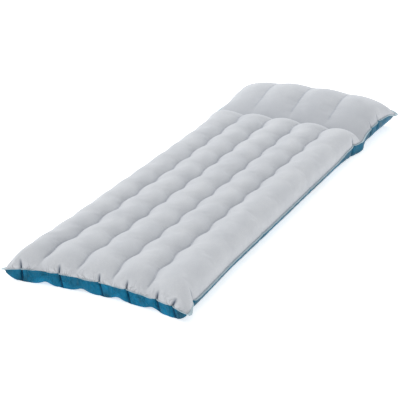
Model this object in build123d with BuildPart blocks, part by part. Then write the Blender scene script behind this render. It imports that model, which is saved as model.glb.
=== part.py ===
"""Inflatable camping mattress with a built-in pillow, blown up and lying on the ground.

Two welded sheets hold the air: a flocked top sheet and a plain bottom sheet that also makes the lower half of the
sides. Vertical beams inside tie the sheets together, so that the air makes five long lobes and, past a cross beam, a
higher pillow of four lobes. A two-in-one screw valve sits in the bottom sheet at the pillow's end: its cap opens the
pump port with a check flap behind it, and the whole insert screws out to let the air out fast.

Frame: millimetres, +Z up, +Y from the foot end to the pillow, origin at the bottom centre.
"""

import os

from build123d import *

# ---- driving dimensions -------------------------------------------------------------------------------------------
LENGTH = 1840.0  # over the weld lips
WIDTH = 670.0  # over the weld lips
LIP = 10.0  # width of the welded edge
SHEET = 0.8  # thickness of a sheet, flock included
BEAM = 0.5  # thickness of a beam
GAP = 0.3  # clearance that keeps neighbouring soft solids apart

PILLOW_LENGTH = 345.0  # from the cross seam to the head end
BODY_CREST = 113.0  # top of the long lobes
BODY_VALLEY = 83.0  # top seams between them
SEAM_Z = 52.0  # edge weld along the long lobes
BODY_LOBES = 5
LOBE_PITCH = 128.0  # between the long beams

PILLOW_CREST = 155.0
PILLOW_VALLEY = 141.0
PILLOW_RISE = 195.0  # length over which the pillow rises, from the cross seam to its crest
PILLOW_SEAM_Z = 80.0  # edge weld round the pillow
PILLOW_LOBES = 4
PILLOW_PITCH = 160.0  # between the pillow's beams

FLOOR_VALLEY = 24.0  # underside seams, above the floor
GROOVE = 28.0  # from an underside seam to where its lobe is pressed flat on the floor
EDGE_R = 18.0  # rounding between the upright lower wall and the floor
NOSE = 70.0  # length over which a long lobe comes down at its ends
CROSS_TOP = 74.0  # cross seam, top side
CROSS_BOTTOM = 24.0  # cross seam, underside

CORNER_R = 35.0  # plan corners of the weld lips

VALVE_X = -80.0  # middle of a pillow lobe
VALVE_Z = 50.0
PORT_R = 9.5  # pump port
THREAD_PITCH = 4.0
THREAD_TURNS = 1.5

# ---- derived places -----------------------------------------------------------------------------------------------
FOOT_Y = -LENGTH / 2 + LIP  # ends and sides of the air space
HEAD_Y = LENGTH / 2 - LIP
SIDE_X = WIDTH / 2 - LIP
CROSS_Y = LENGTH / 2 - PILLOW_LENGTH
TALL = PILLOW_CREST + 50  # clear above everything


# ---- air space: the sheets' outer faces at inset 0, their inner faces at inset SHEET ------------------------------
def lobed_outline(lobes, pitch, crest, valley, seam_z, inset):
    """Cross-section of a chamber: arched lobes above, lobes pressed flat on the floor below."""
    seams = [(i - lobes / 2) * pitch for i in range(1, lobes)]
    top, low = valley - inset, FLOOR_VALLEY + inset
    outer_crest = (SIDE_X + seams[-1]) / 2
    edge_x = SIDE_X - EDGE_R
    with BuildLine() as outline:
        for start, end in zip(seams, seams[1:]):
            SagittaArc((start, top), (end, top), crest - valley)
            Line((start + GROOVE, inset), (end - GROOVE, inset))
        for x in seams:
            for side in (-1, 1):
                TangentArc((x + side * GROOVE, inset), (x, low), tangent=(-side, 0))
        for side in (-1, 1):
            crest_point = (side * outer_crest, crest - inset)
            wall = side * (SIDE_X - inset)
            TangentArc(crest_point, (side * seams[-1], top), tangent=(-side, 0))
            EllipticalCenterArc(
                (side * outer_crest, seam_z),
                SIDE_X - outer_crest - inset,
                crest - seam_z - inset,
                0 if side > 0 else 90,
            )
            Line((wall, seam_z), (wall, EDGE_R))
            CenterArc((side * edge_x, EDGE_R), EDGE_R - inset, 270 if side > 0 else 180, 90)
            Line((side * edge_x, inset), (side * (seams[-1] + GROOVE), inset))
    return outline.line


def body_side_outline(inset):
    """Side view of the long chamber, from the foot end to the cross seam."""
    crest = BODY_CREST + 1 - inset
    nose_y, foot_crest_y = CROSS_Y - NOSE, FOOT_Y + NOSE
    with BuildLine() as outline:
        EllipticalCenterArc((foot_crest_y, SEAM_Z), NOSE - inset, crest - SEAM_Z, 90)
        Polyline((foot_crest_y, crest), (foot_crest_y, TALL), (nose_y, TALL), (nose_y, crest))
        TangentArc((nose_y, crest), (CROSS_Y, CROSS_TOP - inset), tangent=(1, 0))
        Line((CROSS_Y, CROSS_TOP - inset), (CROSS_Y, CROSS_BOTTOM + inset))
        TangentArc((CROSS_Y - GROOVE, inset), (CROSS_Y, CROSS_BOTTOM + inset), tangent=(1, 0))
        Line((CROSS_Y - GROOVE, inset), (FOOT_Y + EDGE_R, inset))
        CenterArc((FOOT_Y + EDGE_R, EDGE_R), EDGE_R - inset, 180, 90)
        Line((FOOT_Y + inset, EDGE_R), (FOOT_Y + inset, SEAM_Z))
    return outline.line


def pillow_side_outline(inset):
    """Side view of the pillow, from the cross seam to the head end, whose lower wall is upright."""
    crest = PILLOW_CREST + 1 - inset
    crest_y = CROSS_Y + PILLOW_RISE
    with BuildLine() as outline:
        TangentArc((crest_y, crest), (CROSS_Y, CROSS_TOP - inset), tangent=(-1, 0))
        EllipticalCenterArc((crest_y, PILLOW_SEAM_Z), HEAD_Y - crest_y - inset, crest - PILLOW_SEAM_Z, 0)
        Line((HEAD_Y - inset, PILLOW_SEAM_Z), (HEAD_Y - inset, EDGE_R))
        CenterArc((HEAD_Y - EDGE_R, EDGE_R), EDGE_R - inset, 270, 90)
        Line((HEAD_Y - EDGE_R, inset), (CROSS_Y + GROOVE, inset))
        TangentArc((CROSS_Y + GROOVE, inset), (CROSS_Y, CROSS_BOTTOM + inset), tangent=(-1, 0))
        Line((CROSS_Y, CROSS_BOTTOM + inset), (CROSS_Y, CROSS_TOP - inset))
    return outline.line


def chamber(section, side_view, y_from, y_to):
    """Air space of one chamber: its cross-section run along Y, cut to its side view."""
    with BuildPart() as space:
        with BuildSketch(Plane.XZ.offset(-y_to)):
            add(section)
            make_face()
        extrude(amount=y_to - y_from)
        with BuildSketch(Plane.YZ):
            add(side_view)
            make_face()
        extrude(amount=WIDTH, both=True, mode=Mode.INTERSECT)
    return space.part


def air_space(inset):
    """Both chambers together, with rounded plan corners."""
    body = chamber(
        lobed_outline(BODY_LOBES, LOBE_PITCH, BODY_CREST, BODY_VALLEY, SEAM_Z, inset),
        body_side_outline(inset),
        FOOT_Y + inset,
        CROSS_Y,
    )
    pillow = chamber(
        lobed_outline(PILLOW_LOBES, PILLOW_PITCH, PILLOW_CREST, PILLOW_VALLEY, PILLOW_SEAM_Z, inset),
        pillow_side_outline(inset),
        CROSS_Y,
        HEAD_Y - inset,
    )
    with BuildPart() as space:
        add(body)
        add(pillow)
        with BuildSketch():
            RectangleRounded(2 * (SIDE_X - inset), 2 * (HEAD_Y - inset), CORNER_R - LIP - inset)
        extrude(amount=TALL, mode=Mode.INTERSECT)
    return space.part


outside = air_space(0)
inside = air_space(SHEET)


# ---- the edge weld, and the two sheets that meet in it -----------------------------------------------------------
def seam_band(below, above):
    """Everything from `below` under the edge weld to `above` over it, inside the plan outline of the lips."""
    start, end = -LENGTH / 2, LENGTH / 2
    line = [(start, SEAM_Z), (CROSS_Y, SEAM_Z), (CROSS_Y + 85, PILLOW_SEAM_Z), (end, PILLOW_SEAM_Z)]
    low = [(y, z - below) for y, z in line]
    high = [(y, z + above) for y, z in line]
    with BuildPart() as band:
        with BuildSketch(Plane.YZ):
            with BuildLine():
                Polyline(*low, *reversed(high), close=True)
            make_face()
        extrude(amount=WIDTH / 2, both=True)
        with BuildSketch():
            RectangleRounded(WIDTH, LENGTH, CORNER_R)
        extrude(amount=TALL, mode=Mode.INTERSECT)
    return band.part


above_seam, top_lip = seam_band(0, TALL), seam_band(0, SHEET)
with BuildPart() as top_sheet:
    add(outside)
    add(above_seam, mode=Mode.INTERSECT)
    add(top_lip)
    add(inside, mode=Mode.SUBTRACT)

valve_plane = Plane(origin=(VALVE_X, HEAD_Y, VALVE_Z), x_dir=(-1, 0, 0), z_dir=(0, 1, 0))
CUP_R = 23.8  # recess of the valve base, inside
CUP_WALL = 1.2
HOLE_R = CUP_R + CUP_WALL + 0.1  # hole that the bottom sheet is punched with

below_seam, bottom_lip = seam_band(TALL, 0), seam_band(SHEET, 0)
with BuildPart() as bottom_sheet:
    add(outside)
    add(below_seam, mode=Mode.INTERSECT)
    add(bottom_lip)
    add(inside, mode=Mode.SUBTRACT)
    with BuildSketch(valve_plane.offset(-20)):
        Circle(HOLE_R)
    extrude(amount=30, mode=Mode.SUBTRACT)


# ---- beams --------------------------------------------------------------------------------------------------------
TAB = 8.0  # width of the strip that is welded to a sheet
BEAM_FOOT_Y = FOOT_Y + 60.0  # the beams stop short, so that the air can pass
BEAM_HEAD_Y = CROSS_Y - 22.0


def i_section(low, high):
    """Upright beam with a weld tab along each edge, seen end on."""
    middle = (low + high) / 2
    with Locations((0, middle)):
        Rectangle(BEAM, high - low)
    with Locations((0, low + SHEET / 2), (0, high - SHEET / 2)):
        Rectangle(TAB, SHEET)


wave_beams = []
for number in range(1, BODY_LOBES):
    beam_x = (number - BODY_LOBES / 2) * LOBE_PITCH
    with BuildPart() as wave_beam:
        with BuildSketch(Plane.XZ.offset(-BEAM_HEAD_Y)):
            with Locations((beam_x, 0)):
                i_section(FLOOR_VALLEY + SHEET + GAP, BODY_VALLEY - SHEET - GAP)
        extrude(amount=BEAM_HEAD_Y - BEAM_FOOT_Y)
    wave_beams.append(wave_beam)

CROSS_SPAN = 560.0  # shorter than the mattress is wide, so that air reaches the pillow round its ends
with BuildPart() as cross_beam:
    with BuildSketch(Plane.YZ.offset(-CROSS_SPAN / 2)):
        with Locations((CROSS_Y, 0)):
            i_section(FLOOR_VALLEY + SHEET + GAP, CROSS_TOP - SHEET - GAP)
    extrude(amount=CROSS_SPAN)

PILLOW_BEAM_FROM = CROSS_Y + 95.0
PILLOW_BEAM_LENGTH = 165.0
PILLOW_BEAM_HEIGHT = PILLOW_VALLEY - FLOOR_VALLEY - 2 * (SHEET + GAP)
pillow_beam_outline = pillow_side_outline(SHEET + GAP)
pillow_beams = []
for number in range(1, PILLOW_LOBES):
    beam_x = (number - PILLOW_LOBES / 2) * PILLOW_PITCH
    with BuildPart() as pillow_beam:
        with BuildSketch(Plane.YZ.offset(beam_x)):
            add(pillow_beam_outline)
            make_face()
        extrude(amount=BEAM / 2, both=True)
        with Locations((beam_x, PILLOW_BEAM_FROM, FLOOR_VALLEY + SHEET + GAP)):
            Box(
                TAB,
                PILLOW_BEAM_LENGTH,
                PILLOW_BEAM_HEIGHT,
                align=(Align.CENTER, Align.MIN, Align.MIN),
                mode=Mode.INTERSECT,
            )
    pillow_beams.append(pillow_beam)


# ---- valve, drawn along its own axis: outwards is up, height 0 is the bottom sheet's outer face -------------------
CUP_FLOOR = -8.0
NECK_END = -22.0
FLANGE_R = 28.5
FLANGE = 1.0
NECK_R = 18.8  # bore of the threaded neck
NECK_WALL = 2.0
THREAD_LOW = -18.2  # height where the thread starts
NECK_THREAD_CREST = 17.6
CORE_THREAD_CREST = 18.2
GASKET = 1.2
RIM_R = 22.0
RIM = 3.0
RIM_LOW = CUP_FLOOR + GASKET
RIM_TOP = RIM_LOW + RIM
BOSS_R = 13.0
BOSS_TOP = 0.0
CORE_R = 17.0  # insert's threaded body, under the thread
INSERT_END = -20.5
SEAT_TOP = -18.0  # outer face of the spider that holds the flap
FLAP = 0.8
FLAP_TRAVEL = 2.8
HUB_HOLE_R = 1.3


VALVE_AXIS = Axis(valve_plane.origin, valve_plane.z_dir)


def axial_face(points):
    """Face beside the valve's axis, from (radius, height) points, ready to be revolved."""
    corners = [valve_plane.from_local_coords(Vector(radius, 0, height)) for radius, height in points]
    return Face(Wire.make_polygon(corners))


def thread_ridge(wall_r, crest_r, low):
    """Helical ridge on the wall at wall_r, with its crest at crest_r, as a solid that bites 0.3 into the wall."""
    bite = 0.3 if wall_r > crest_r else -0.3
    root, crest = 0.9, 0.4  # half widths
    with BuildPart() as ridge:
        with BuildLine():
            Helix(THREAD_PITCH, THREAD_PITCH * THREAD_TURNS, wall_r, center=(0, 0, low))
        with BuildSketch(Plane.XZ):
            with BuildLine():
                Polyline(
                    (wall_r + bite, low - root),
                    (crest_r, low - crest),
                    (crest_r, low + crest),
                    (wall_r + bite, low + root),
                    close=True,
                )
            make_face()
        sweep(is_frenet=True)
    return valve_plane.location * ridge.part


neck_thread = thread_ridge(NECK_R, NECK_THREAD_CREST, THREAD_LOW + THREAD_PITCH / 2)
with BuildPart() as valve_base:
    revolve(
        axial_face([
            (CUP_R, FLANGE),
            (FLANGE_R, FLANGE),
            (FLANGE_R, 0),
            (CUP_R + CUP_WALL, 0),
            (CUP_R + CUP_WALL, CUP_FLOOR - 1.6),
            (NECK_R + NECK_WALL, CUP_FLOOR - 1.6),
            (NECK_R + NECK_WALL, NECK_END),
            (NECK_R, NECK_END),
            (NECK_R, CUP_FLOOR),
            (CUP_R, CUP_FLOOR),
        ]),
        axis=VALVE_AXIS,
    )
    add(neck_thread)

with BuildPart() as valve_gasket:
    revolve(
        axial_face([
            (NECK_R + 0.2, CUP_FLOOR),
            (RIM_R - 0.8, CUP_FLOOR),
            (RIM_R - 0.8, RIM_LOW),
            (NECK_R + 0.2, RIM_LOW),
        ]),
        axis=VALVE_AXIS,
    )

insert_thread = thread_ridge(CORE_R, CORE_THREAD_CREST, THREAD_LOW)
with BuildPart() as valve_insert:
    revolve(
        axial_face([
            (PORT_R, BOSS_TOP),
            (BOSS_R + 0.7, BOSS_TOP),
            (BOSS_R + 0.7, BOSS_TOP - 0.9),
            (BOSS_R, BOSS_TOP - 1.3),
            (BOSS_R, RIM_TOP),
            (RIM_R, RIM_TOP),
            (RIM_R, RIM_LOW),
            (CORE_R, RIM_LOW),
            (CORE_R, INSERT_END + 1.0),
            (CORE_R - 1.8, INSERT_END + 1.0),
            (CORE_R - 1.8, RIM_LOW - 1.5),
            (PORT_R + 1.6, RIM_LOW - 1.5),
            (PORT_R + 1.6, INSERT_END),
            (PORT_R, INSERT_END),
        ]),
        axis=VALVE_AXIS,
    )
    add(insert_thread)
    # spider: three spokes to a hub that the flap's stem goes through
    with BuildSketch(valve_plane.offset(INSERT_END)):
        Circle(3.0)
        with PolarLocations(PORT_R / 2, 3):
            Rectangle(PORT_R + 1.0, 2.0)
    extrude(amount=SEAT_TOP - INSERT_END)
    with BuildSketch(valve_plane.offset(INSERT_END)):
        Circle(HUB_HOLE_R)
    extrude(amount=SEAT_TOP - INSERT_END, mode=Mode.SUBTRACT)
    # finger grips round the rim
    with BuildSketch(valve_plane.offset(RIM_TOP)):
        with PolarLocations(RIM_R + 1.5, 12):
            Circle(3.0)
    extrude(amount=-RIM, mode=Mode.SUBTRACT)

with BuildPart() as valve_flap:
    revolve(
        axial_face([
            (0, INSERT_END - FLAP),
            (PORT_R + 1.3, INSERT_END - FLAP),
            (PORT_R + 1.3, INSERT_END - 0.05),
            (HUB_HOLE_R - 0.2, INSERT_END - 0.05),
            (HUB_HOLE_R - 0.2, SEAT_TOP + FLAP_TRAVEL + 0.2),
            (HUB_HOLE_R + 0.8, SEAT_TOP + FLAP_TRAVEL + 0.2),
            (0.6, SEAT_TOP + FLAP_TRAVEL + 3.0),
            (0, SEAT_TOP + FLAP_TRAVEL + 3.0),
        ]),
        axis=VALVE_AXIS,
    )

RING_LOW, RING_TOP = RIM_TOP + 0.2, RIM_TOP + 2.2
RING_R = 16.0
with BuildPart() as tether_ring:
    revolve(
        axial_face([
            (BOSS_R + 0.15, RING_LOW),
            (RING_R, RING_LOW),
            (RING_R, RING_TOP),
            (BOSS_R + 0.15, RING_TOP),
        ]),
        axis=VALVE_AXIS,
    )

CAP_R = 14.5
CAP = 2.4
PLUG_END = -7.5
with BuildPart() as valve_cap:
    revolve(
        axial_face([
            (0, BOSS_TOP + CAP),
            (CAP_R - 0.8, BOSS_TOP + CAP),
            (CAP_R, BOSS_TOP + CAP - 0.8),
            (CAP_R, BOSS_TOP + 0.05),
            (PORT_R - 0.08, BOSS_TOP + 0.05),
            (PORT_R - 0.08, PLUG_END + 1.2),
            (PORT_R - 0.8, PLUG_END),
            (PORT_R - 2.0, PLUG_END),
            (PORT_R - 2.0, BOSS_TOP),
            (0, BOSS_TOP),
        ]),
        axis=VALVE_AXIS,
    )
    # pull tab, opposite the strap
    with BuildSketch(valve_plane.offset(BOSS_TOP + 0.4)):
        with Locations((0, CAP_R + 1.0)):
            SlotOverall(12.0, 7.0)
    extrude(amount=1.6)

STRAP_WIDTH = 6.0
STRAP = 0.9
STRAP_LOW = (RING_LOW + RING_TOP) / 2
STRAP_HIGH = BOSS_TOP + CAP / 2
STRAP_REACH = 20.8
with BuildPart() as cap_strap:
    with BuildLine(Plane(valve_plane.origin, x_dir=-valve_plane.y_dir, z_dir=-valve_plane.x_dir)):
        Line((RING_R + 0.02, STRAP_LOW), (STRAP_REACH, STRAP_LOW))
        ThreePointArc(
            (STRAP_REACH, STRAP_LOW),
            (STRAP_REACH + (STRAP_HIGH - STRAP_LOW) / 2, (STRAP_HIGH + STRAP_LOW) / 2),
            (STRAP_REACH, STRAP_HIGH),
        )
        Line((STRAP_REACH, STRAP_HIGH), (CAP_R + 0.02, STRAP_HIGH))
    strap_root = valve_plane.from_local_coords(Vector(0, -RING_R - 0.02, STRAP_LOW))
    with BuildSketch(Plane(strap_root, x_dir=valve_plane.x_dir, z_dir=-valve_plane.y_dir)):
        Rectangle(STRAP_WIDTH, STRAP)
    sweep()

# ---- labels and files ---------------------------------------------------------------------------------------------
pieces = {
    "top_sheet": top_sheet,
    "bottom_sheet": bottom_sheet,
    "cross_beam": cross_beam,
    "valve_base": valve_base,
    "valve_gasket": valve_gasket,
    "valve_insert": valve_insert,
    "valve_flap": valve_flap,
    "tether_ring": tether_ring,
    "cap_strap": cap_strap,
    "valve_cap": valve_cap,
}
for number, beam in enumerate(wave_beams, 1):
    pieces[f"wave_beam_{number}"] = beam
for number, beam in enumerate(pillow_beams, 1):
    pieces[f"pillow_beam_{number}"] = beam

os.makedirs("parts", exist_ok=True)
for name, piece in pieces.items():
    piece.part.label = name
    export_step(piece.part, f"parts/{name}.step")
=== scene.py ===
"""Looks of the inflatable camping mattress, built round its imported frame.

Metres, +Z up, +Y from the foot end to the pillow, origin at the bottom centre. The two sheets are
grids whose columns run from foot to head. They start from the shape that the welds hold, and a
cloth simulation under air pressure then fills them out, with the welds, the floor contact and the
valve's seat held still.
"""

import math

import bmesh
import bpy
import numpy as np
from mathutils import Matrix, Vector


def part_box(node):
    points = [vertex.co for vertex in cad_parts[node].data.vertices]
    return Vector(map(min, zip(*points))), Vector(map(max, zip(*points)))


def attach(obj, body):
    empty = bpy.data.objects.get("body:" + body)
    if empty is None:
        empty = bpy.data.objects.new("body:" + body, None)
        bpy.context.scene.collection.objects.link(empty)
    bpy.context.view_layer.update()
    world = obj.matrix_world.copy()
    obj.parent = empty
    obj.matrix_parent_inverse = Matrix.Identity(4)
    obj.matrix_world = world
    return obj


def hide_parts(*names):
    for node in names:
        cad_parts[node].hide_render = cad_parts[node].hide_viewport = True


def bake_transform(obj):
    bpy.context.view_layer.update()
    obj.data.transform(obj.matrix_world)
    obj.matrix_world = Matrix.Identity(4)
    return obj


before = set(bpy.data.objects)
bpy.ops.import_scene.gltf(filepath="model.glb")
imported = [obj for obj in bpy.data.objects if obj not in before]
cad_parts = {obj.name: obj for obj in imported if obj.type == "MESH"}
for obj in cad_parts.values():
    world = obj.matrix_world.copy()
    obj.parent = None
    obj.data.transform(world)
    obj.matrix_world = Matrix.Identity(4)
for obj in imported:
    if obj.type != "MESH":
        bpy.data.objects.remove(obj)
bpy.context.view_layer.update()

# ---- places that the frame gives ----------------------------------------------------------------
BEAM_INSET = 0.0011  # a beam stops this far from the sheets' outer faces
BEAM_THICK = 0.0005
CROSS_Y = sum(p.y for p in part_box("cross_beam")) / 2
CROSS_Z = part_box("cross_beam")[1].z + BEAM_INSET
CROSS_BEAM_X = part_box("cross_beam")[1].x
VALLEY_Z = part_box("wave_beam_1")[1].z + BEAM_INSET
FLOOR_VALLEY_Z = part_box("wave_beam_1")[0].z - BEAM_INSET
BEAM_FROM_Y, BEAM_TO_Y = (p.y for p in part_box("wave_beam_1"))
SEAM_FROM_Y = BEAM_FROM_Y - 0.025  # the long seams themselves run on towards the foot
valve_low, valve_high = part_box("valve_base")
VALVE_X, VALVE_Z = (valve_low.x + valve_high.x) / 2, (valve_low.z + valve_high.z) / 2
VALVE_FLANGE_R = (valve_high.x - valve_low.x) / 2
HEAD_Y = valve_high.y - 0.001  # outer face of the head wall, under the valve's flange

# ---- shape of the inflated mattress -------------------------------------------------------------
FOOT_Y, FOOT_BOW = -0.930, 0.038  # edge weld at the foot corners, and how far its middle bows in
FOOT_SKEW = 0.007  # the foot's -X corner reaches this much further than its middle, the +X one less
CROSS_SKEW = 0.042  # how far the cross seam drifts to the foot at -X
HEAD_BOW = 0.012  # how far its corners stand out at the head
LOBE_RISE = 0.030  # crest of a long lobe over its seams
WAVE = 0.0055  # how far the long seams swing to each side
WAVE_LENGTH = 0.1288
WAVE_CREST_Y = 0.0525  # a place where they swing furthest towards +X
SEAM_END_LIFT = 0.010  # how much the long seams rise before they end at the cross seam
GROOVE = 0.028  # from an underside seam to the floor
FOOT_GROOVE = (0.022, 0.009, 0.026)  # how much wider, lower and further to +X it is at the foot
FOOT_NOSE = 0.088  # length over which the top comes down at the foot
CROSS_NOSE = 0.060  # and at the cross seam
HEAD_WALL = 0.014  # how far the head wall leans in between the edge weld and the floor
HEAD_WELD_Z = 0.081  # height of the edge weld at the middle of the head
FOOT_WELD_LIFT = (0.014, 0.028)  # how far it climbs at the foot's middle, and what -X adds
PILLOW_Z = 0.156  # top of the pillow's crest
PILLOW_TILT = 0.009  # which climbs this much per metre towards +X
PILLOW_CREST_Y = 0.770
PILLOW_PITCH = 0.163  # between the pillow's seams
PILLOW_SEAM_Y = (0.632, 0.830)  # where they start and end
FLANGE = 0.0065  # width of the edge weld
RIM_HALF = 0.0008  # half its thickness
EAR = 0.005  # how much further it reaches at the corners
CORNER_X, CORNER_Y = 0.34, 0.924  # where those are, at the foot

# curves along the mattress, as (y, value) points
LONG_PITCH = [(-0.925, 0.131), (-0.60, 0.1215), (0.0, 0.1185), (0.575, 0.119)]
# half the width
SIDE_X = [(-0.925, 0.341), (-0.83, 0.324), (-0.5, 0.314), (0.40, 0.311), (0.53, 0.317),
          (0.590, 0.326), (0.64, 0.323), (0.80, 0.327), (0.905, 0.342)]
# how far the -X side keeps inside that
LEFT_IN = [(-0.93, 0.0), (-0.5, 0.003), (0.2, 0.009), (0.50, 0.010), (0.60, 0.002), (0.73, 0.006),
           (0.85, -0.003), (0.905, 0.010)]
# how much lower the -X edge of the pillow is
LEFT_LOW = [(0.50, 0.0), (0.62, 0.012), (0.80, 0.018), (0.905, 0.016)]
# how early the -X lobe comes down to its edge, as a power
LEFT_EDGE = [(-0.60, 0.85), (0.30, 1.20)]
RIGHT_EDGE = 0.60  # the same for the +X lobe
# height of the edge weld at the sides
SIDE_Z = [(-0.930, 0.035), (-0.86, 0.040), (-0.70, 0.039), (0.36, 0.040), (0.51, 0.055),
          (0.575, 0.050), (0.66, 0.067), (0.76, 0.074), (0.85, 0.068), (0.905, 0.052)]
# how far in from the sides the bottom sheet reaches the floor
SIDE_REACH = [(-0.925, 0.062), (-0.85, 0.034), (0.47, 0.036), (0.56, 0.022), (0.615, 0.022),
              (0.65, 0.055), (0.80, 0.060), (0.90, 0.075)]
# how the long seams drift sideways
SEAM_SHIFT = [(-0.925, -0.023), (-0.4, -0.010), (0.0, -0.002), (0.40, 0.003), (0.57, 0.014)]
# how far the pillow's seams sink in
PILLOW_DIP = [(0.605, 0.0), (0.64, 0.006), (0.70, 0.016), (0.77, 0.019), (0.83, 0.014),
              (0.87, 0.004), (0.90, 0.0)]
PILLOW_ROUND = 0.50  # power of the pillow's cross-section at -X
PILLOW_FULLNESS = 4.6  # how square it is at +X
PILLOW_SLOPE = 1.4  # power of its rise from the cross seam

COLUMNS = 100
LONG_SEAMS = (0, 20, 40, 60, 80, 100)  # columns of the edges and the long seams
PILLOW_SEAMS = (0, 25, 50, 75, 100)
FOOT_FOLDS = (10, 31, 53, 69, 85, 93)  # columns where the end walls fold in
HEAD_FOLDS = (8, 22, 51, 63, 79, 92)
ROW_LENGTH = 0.0088  # spacing of the rows over the long lobes
FOOT_ROWS, NOSE_ROWS, PILLOW_ROWS, HEAD_ROWS = 13, 9, 26, 24  # how many the other zones have
FOOT_WALL_ROWS, HEAD_WALL_ROWS = 7, 10  # how many of them make the bottom sheet's end walls
EDGE_COLUMN, END_ROW = 0.0068, 0.0085  # width of a column at the sides, length of a row at the ends
SIDE_BULGE, SIDE_BULGE_Y = 0.010, 0.600  # the lower side wall swells out beside the cross seam
SIDE_BULGE_LENGTH = 0.022  # and how far along
FOLD_SLANT = 0.015  # the folds in the foot wall run towards +X on their way down
FOLD_SPACING = (0.28, 0.78)  # what is left of the spacing beside a fold, and one column on
SIDE_FOLDS = {  # places where the sides fold in, and how deep
    1: [(-0.850, 0.015), (-0.31, 0.004), (0.10, 0.003), (0.528, 0.014), (0.698, 0.010),
        (0.765, 0.013)],
    -1: [(-0.872, 0.010), (-0.42, 0.004), (0.03, 0.003), (0.535, 0.013), (0.690, 0.009),
         (0.775, 0.012)],
}
SIDE_FOLD_COLUMNS = 7  # how many columns a side fold runs inwards
SIDE_FOLD_DEPTH = (1, 0.40, 0.08, 0)  # share of its depth in its own row and the next three
SIDE_FOLD_DRAWN = (0, 0.0052, 0.0050, 0.0025)  # how far those rows are drawn towards it
SIDE_FOLD_FULL = 0.010  # depth from which they are drawn in fully
WELD_CREASE = 0.75  # how sharp the subdivision leaves the welds along the mattress
SEAT_FROM = VALVE_FLANGE_R + 0.003  # the head wall is flat out to here round the valve
SEAT_HELD = VALVE_FLANGE_R + 0.004  # and held still out to here
VALVE_HOLE_R = VALVE_FLANGE_R - 0.0025  # the hole in the bottom sheet, under the flange
PILLOW_SHADE_LENGTH = 0.26  # painted shade on the pillow's front reaches this far behind the cross seam

# ---- cloth simulation settings ------------------------------------------------------------------
FRAMES = 24
MOST_MOVE = 0.012  # no point moves further than this


def curve(points, y):
    """Value at y of a smooth curve through (y, value) points."""
    places, values = np.array(points).T
    k = np.clip(np.searchsorted(places, y) - 1, 0, len(places) - 2)
    t = np.clip((y - places[k]) / (places[k + 1] - places[k]), 0, 1)
    return values[k] + (values[k + 1] - values[k]) * t * t * (3 - 2 * t)


def ramp(value, start, end):
    """0 before start, 1 after end, smooth between them."""
    t = np.clip((value - start) / (end - start), 0, 1)
    return t * t * (3 - 2 * t)


def bow(x, y):
    """How far the rows curve: near the ends, where the corners stand out, and at the cross seam."""
    side = np.clip(x / curve(SIDE_X, y), -1, 1)
    t = np.abs(side)
    foot = FOOT_BOW * (1 - t ** np.where(side < 0, 1.7, 2.6)) + FOOT_SKEW * side
    head = HEAD_BOW * t**5 * ramp(y, HEAD_Y - 0.09, HEAD_Y)
    cross = CROSS_SKEW * np.clip((0.24 - side) / 1.24, 0, 1) ** 1.4
    cross = cross * ramp(y, CROSS_Y - 0.30, CROSS_Y) * (1 - ramp(y, CROSS_Y, CROSS_Y + 0.14))
    return foot * (1 - ramp(y, FOOT_Y, FOOT_Y + 0.20)) + head - cross


def long_seams(y):
    """x of the edges and the long seams at y."""
    pitch, side = float(curve(LONG_PITCH, y)), float(curve(SIDE_X, y))
    seams = [-side]
    for k in (1, 2, 3, 4):
        x = pitch * (k - 2.5) + float(curve(SEAM_SHIFT, y))
        phase = 2 * math.pi * (y + float(bow(x, y)) - WAVE_CREST_Y) / WAVE_LENGTH
        seams.append(x + WAVE * math.cos(phase) * float(ramp(y, FOOT_Y, FOOT_Y + 0.05)))
    return np.array(seams + [side])


def pillow_seams(y):
    """x of the edges and the pillow's seams at y."""
    side = float(curve(SIDE_X, y))
    return np.array([-side, -PILLOW_PITCH, 0, PILLOW_PITCH, side])


def weld_height(x, y):
    """Height of the edge weld, carried inwards so that the ends and sides agree."""
    side = np.clip(x / curve(SIDE_X, y), -1, 1)
    t = np.abs(side)
    fading = 1 - ramp(y, FOOT_Y, FOOT_Y + 0.12)
    lift, left_lift = FOOT_WELD_LIFT
    foot = (lift + left_lift * np.minimum(side, 0) ** 2) * (1 - t**2) * fading
    head = (HEAD_WELD_Z - curve(SIDE_Z, y)) * (1 - t**6) * ramp(y, PILLOW_CREST_Y, HEAD_Y)
    return curve(SIDE_Z, y) - curve(LEFT_LOW, y) * np.minimum(side, 0) ** 2 + foot + head


def arc_height(offset, half, rise):
    """Height of a circular arc of that half chord and rise, at an offset from its middle."""
    radius = (half**2 + rise**2) / (2 * rise)
    return np.sqrt(np.maximum(radius**2 - offset**2, 0)) - (radius - rise)


def floor_curve(inwards, reach, rise):
    """Height of an arc that leaves the floor at reach and stands at rise over the seam."""
    near = np.clip(reach - inwards, 0, None)
    radius = (reach**2 + rise**2) / (2 * rise)
    return radius - np.sqrt(np.maximum(radius**2 - near**2, 0))


def long_top(x, y):
    """Full height of the top sheet over the long lobes."""
    seams, weld = long_seams(y), weld_height(x, y)
    height = np.zeros_like(x)
    for k in range(5):
        start, end = seams[k], seams[k + 1]
        inside = (x >= start) & (x <= end)
        half = (end - start) / 2
        offset = x[inside] - (start + end) / 2
        arch = VALLEY_Z + arc_height(offset, half, LOBE_RISE)
        outward = {0: -1, 4: 1}.get(k, 0)
        if outward:
            low, power = weld[inside], RIGHT_EDGE if outward > 0 else float(curve(LEFT_EDGE, y))
            rounded = np.maximum(1 - (offset / half) ** 2, 0) ** power
            edge = low + (VALLEY_Z + LOBE_RISE - low) * rounded
            arch = np.where(offset * outward > 0, edge, arch)
        height[inside] = arch
    # near the cross seam the long seams fade out
    lift = SEAM_END_LIFT * float(ramp(y, CROSS_Y - 0.15, CROSS_Y - 0.04))
    return height + lift * np.clip(1 - np.abs(height - VALLEY_Z) / LOBE_RISE, 0, 1)


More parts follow.
